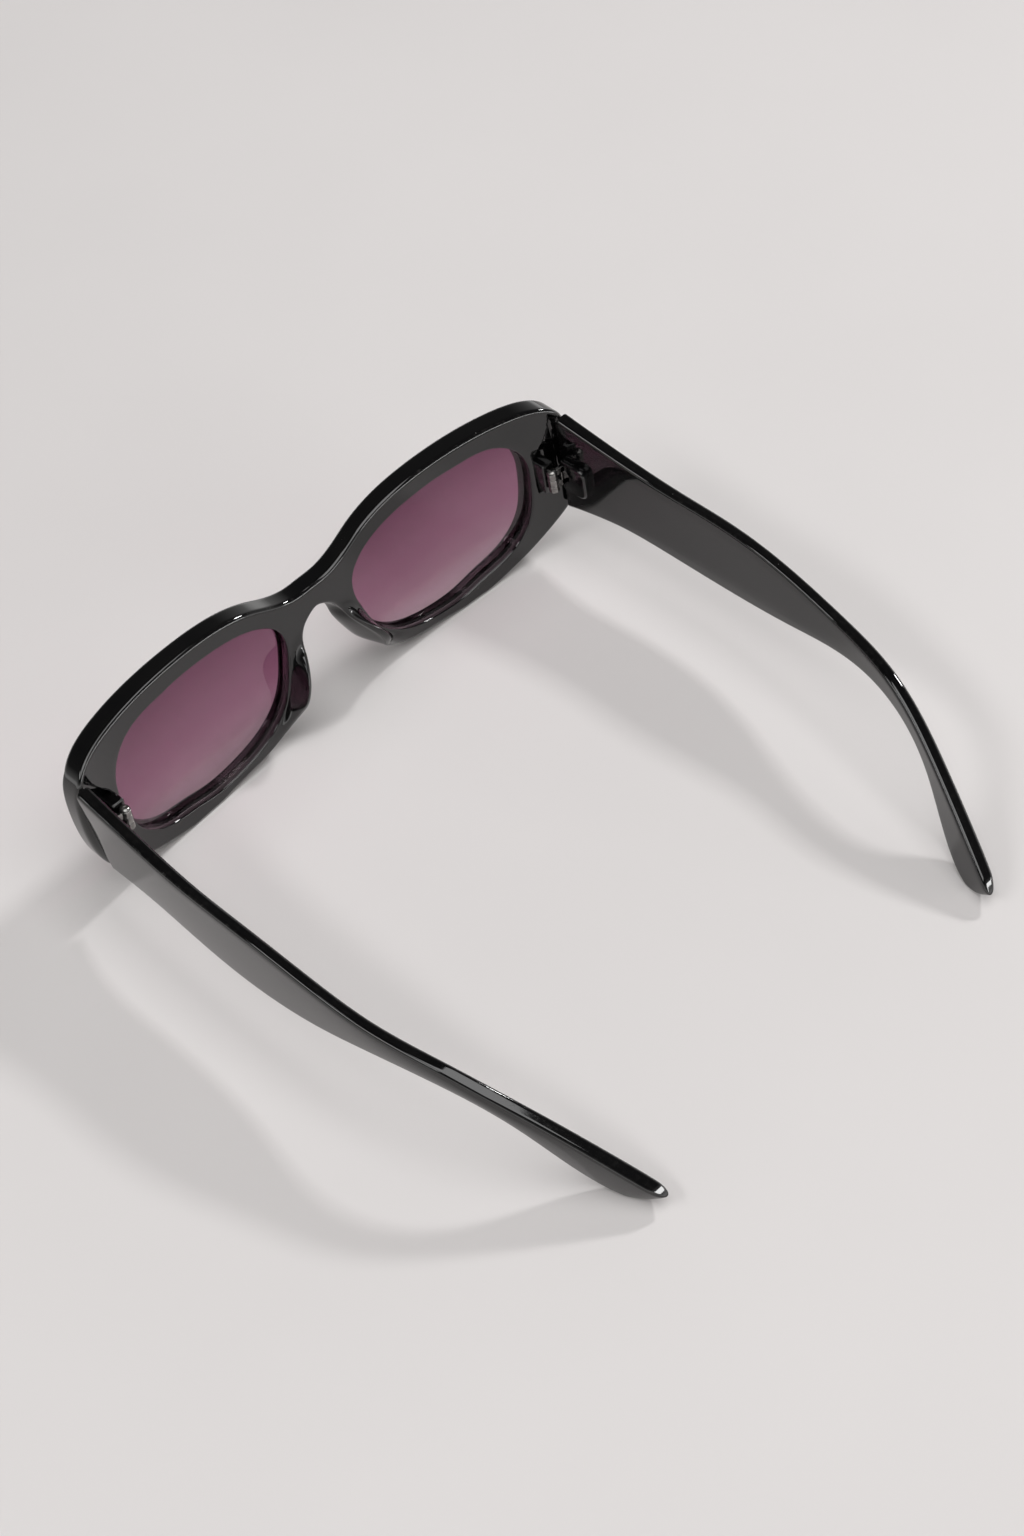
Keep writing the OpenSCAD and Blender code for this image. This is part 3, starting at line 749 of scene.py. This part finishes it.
def knuckle(low, high):
    # ring with rounded rims round the pin
    e, r, bore = hinge["edge"], hinge["knuckleR"], hinge["boreR"]
    a = np.radians(np.linspace(0, 90, 5))
    outer = np.stack([r - e + e * np.sin(a), high - e + e * np.cos(a)], axis=-1)
    inner = np.stack([bore + hinge["boreEdge"] * (1 - np.cos(a)), high - e + e * np.sin(a)], axis=-1)
    upper = np.vstack([inner, outer])
    lower = (upper * [1, -1] + [0, low + high])[::-1]
    return turned((hingeX, hingeBehindButt), np.vstack([upper, lower]), closed=True)


def plate(x0, x1, y0, y1, low, high):
    return roundBox((hingeX + x0, y0, low), (hingeX + x1, y1, high), hinge["edge"], steps=4)


def frontLeaf():
    # the middle knuckle on a plate that runs forwards into the hinge block
    half, low, high = hinge["leafThick"] / 2, hinge["middleLow"], hinge["middleHigh"]
    end = hingeBehindButt - hinge["leafToPin"]
    return joined(knuckle(low, high), plate(-half, half, hinge["leafFrom"], end, low, high))


def templeLeaf():
    # two knuckles on arms that part round the middle one, a web behind them and the plate in the tablet
    half, to = hinge["leafThick"] / 2, hinge["armTo"]
    y0, y1 = hingeBehindButt - half, hingeBehindButt + half
    low, high, thick = hinge["low"], hinge["high"], hinge["sideHigh"]
    shells = []
    for a, b in ((low, low + thick), (high - thick, high)):
        shells += [knuckle(a, b), plate(hinge["armFrom"], to, y0, y1, a, b)]
    shells += [plate(hinge["webFrom"], to, y0, y1, low, high),
               plate(to - hinge["leafThick"], to, y0, hinge["plateTo"], low, high)]
    return joined(*shells)


def screw():
    # shank, and a domed head whose slot parts it into two lobes
    r, head, top = hinge["screwR"], hinge["headR"], hinge["high"]
    slot, floor = hinge["slotWide"] / 2, top + hinge["headHigh"] - hinge["slotDeep"]
    centre, e, c = (hingeX, hingeBehindButt), hinge["shankEdge"], hinge["headEdge"]
    shank = turned(centre, [(r - e, hinge["low"]), (r, hinge["low"] + e), (r, top + e)], around=32)
    base = turned(centre, [(head - c, top), (head, top + c), (head, floor)])
    side = np.arcsin(slot / head)
    a = np.linspace(side, np.pi - side, 25)
    slotX = np.linspace(-1, 1, 16)[1:-1] * head * np.cos(side)
    rim = np.vstack([np.stack([head * np.cos(a), head * np.sin(a)], axis=-1),
                     np.stack([slotX, slot + 0 * slotX], axis=-1)])
    middle = np.array([0, (head + slot) / 2])
    share = np.r_[1, 1, 0.97, 0.9, 0.75, 0.5, 0.25, 0.05][:, None, None]
    flat = middle + (rim - middle) * share
    out = np.linalg.norm(flat, axis=-1) / head
    z = top + hinge["headHigh"] * (1 - hinge["headDome"] * out ** hinge["domePower"])
    z[0] = floor - hinge["lobeSunk"]
    lobe = capped(np.stack([hingeX + flat[..., 0], hingeBehindButt + flat[..., 1], z], axis=-1))
    other = (lobe[0] * [1, -1, 1] + [0, 2 * hingeBehindButt, 0], lobe[1], lobe[2])
    return joined(shank, base, lobe, other)


def makeHinge(side, sign):
    moving = side + "_temple"
    for name, cadNode, body, shell in (("hinge_leaf_front_", "front_hinge_", "front", frontLeaf()),
                                       ("hinge_leaf_temple_", "temple_hinge_", moving, templeLeaf()),
                                       ("slotted_screw_", "hinge_screw_", moving, screw())):
        points, faces, _ = shell
        piece = makePiece(name + side, points * [sign, 1, 1], faces, nickel)
        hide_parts(cadNode + side)
        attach(piece, body)


for side, sign in sides:
    makeHinge(side, sign)
print("hinges made")


room = dict(tableSize=6.0, tableColour=(0.735, 0.707, 0.699), tableMottle=0.015, tableFade=(0.35, 0.9),
            mottleFine=9.0, mottleSpan=(0.3, 0.7), tableRough=0.85, tableShine=0.2, tableSunk=0.00002,
            backdrop=(0.7, 0.675, 0.667), away=1.5, roomLevel=1.5,
            # how bright the room is by height: pale walls, dark overhead
            walls=[(0.0, 1.0), (0.12, 1.0), (0.22, 0.42), (0.55, 0.05), (1.0, 0.02)],
            wallTone=(1, 0.99, 0.98))
# each softbox: its direction from the object, watts, width and height
softboxes = dict(key=((-0.74, 0.026, 0.672), 6.7, 0.15, 0.15), fill=((0.62, -0.15, 0.77), 4.2, 0.9, 0.22),
                 rear=((-0.386, 0.9, 0.25), 4.0, 1.0, 0.1), above=((0.05, 0.25, 0.97), 12.6, 1.2, 1.2))


def seenPath(tree, *rays):
    # 1 for rays of the named kinds, which show the plain background
    path = node(tree, "LightPath", "path")
    total = path.outputs[rays[0]]
    for ray in rays[1:]:
        total = maths(tree, "either", "MAXIMUM", total, path.outputs[ray])
    return total


def tableTop():
    # pale smooth table with a hardly visible mottle, which goes over into the plain background far away
    material, tree, shader = newMaterial("pale_table")
    place = objectPlace(tree)
    dark, light = ([c * (1 + change) for c in room["tableColour"]]
                   for change in (-room["tableMottle"], room["tableMottle"]))
    mottle = noise(tree, "mottle", place, room["mottleFine"], Detail=3.0)
    tone = ramp(tree, "tone", mottle, list(zip(room["mottleSpan"], (dark, light))))
    tree.links.new(tone, shader.inputs["Base Color"])
    shader.inputs["Roughness"].default_value = room["tableRough"]
    shader.inputs["Specular IOR Level"].default_value = room["tableShine"]
    far = node(tree, "VectorMath", "far", {0: place}, operation="LENGTH").outputs["Value"]
    fade = mapped(tree, "fade", far, *room["tableFade"], interpolation_type="SMOOTHSTEP")
    seen = seenPath(tree, "Is Camera Ray", "Is Glossy Ray", "Is Transmission Ray")
    shown = maths(tree, "shown", "MULTIPLY", fade, seen)
    backdrop = node(tree, "Emission", "backdrop", Color=(*room["backdrop"], 1), Strength=1.0)
    ownOutput(tree, "table and backdrop", shown, shader.outputs["BSDF"], backdrop.outputs["Emission"],
              "Material Output")
    return material


def makeTable():
    size = room["tableSize"]
    mesh = bpy.data.meshes.new("table_top")
    corners = [(-size, -size), (size, -size), (size, size), (-size, size)]
    mesh.from_pydata([(x, y, -room["tableSunk"]) for x, y in corners], [], [(0, 1, 2, 3)])
    table = bpy.data.objects.new("table_top", mesh)
    bpy.context.collection.objects.link(table)
    mesh.materials.append(tableTop())


def makeSoftbox(name, towards, watts, wide, high):
    data = bpy.data.lights.new(name + "_softbox", "AREA")
    data.shape, data.energy, data.size, data.size_y = "RECTANGLE", watts, wide, high
    lamp = bpy.data.objects.new(name + "_softbox", data)
    bpy.context.collection.objects.link(lamp)
    direction = Vector(towards).normalized()
    lamp.location = direction * room["away"]
    lamp.rotation_euler = direction.to_track_quat("Z", "Y").to_euler()
    lamp.visible_camera = False


def makeRoomLight():
    # the direction's height picks the brightness
    world = bpy.data.worlds.new("room_light")
    world.use_nodes = True
    tree = world.node_tree
    light = tree.nodes["Background"]
    direction = node(tree, "TexCoord", "direction").outputs["Generated"]
    height = node(tree, "SeparateXYZ", "parts", {"Vector": direction}).outputs["Z"]
    stops = [(z, [v * tone for tone in room["wallTone"]]) for z, v in room["walls"]]
    tree.links.new(ramp(tree, "walls", height, stops), light.inputs["Color"])
    light.inputs["Strength"].default_value = room["roomLevel"]
    backdrop = node(tree, "Background", "backdrop", Color=(*room["backdrop"], 1), Strength=1.0)
    ownOutput(tree, "room and backdrop", seenPath(tree, "Is Camera Ray", "Is Transmission Ray"),
              light.outputs["Background"], backdrop.outputs["Background"], "World Output")
    bpy.context.scene.world = world


makeTable()
for name, settings in softboxes.items():
    makeSoftbox(name, *settings)
makeRoomLight()

# camera: its axes and place were fitted to the photograph; place in millimetres from the butt plane
shot = dict(right=(-0.708458, 0.694960, -0.122956), up=(-0.590922, -0.488860, 0.641738),
            back=(0.385874, 0.527301, 0.757004), place=(255.061, 399.475, 520.356), focalPixels=3213.02,
            imageHigh=1536, sensorHigh=36.0)


def makeCamera():
    data = bpy.data.cameras.new("photo_view")
    data.sensor_fit = "VERTICAL"
    data.sensor_height = shot["sensorHigh"]
    data.lens = shot["focalPixels"] / shot["imageHigh"] * shot["sensorHigh"]
    data.clip_start = 0.01
    camera = bpy.data.objects.new("photo_view", data)
    bpy.context.collection.objects.link(camera)
    turn = Matrix((shot["right"], shot["up"], shot["back"])).transposed().to_4x4()
    camera.matrix_world = Matrix.Translation(toMetres(shot["place"])[0].tolist()) @ turn
    bpy.context.scene.camera = camera


makeCamera()
bpy.context.scene.view_settings.view_transform = "Standard"
print("table, light and camera placed")
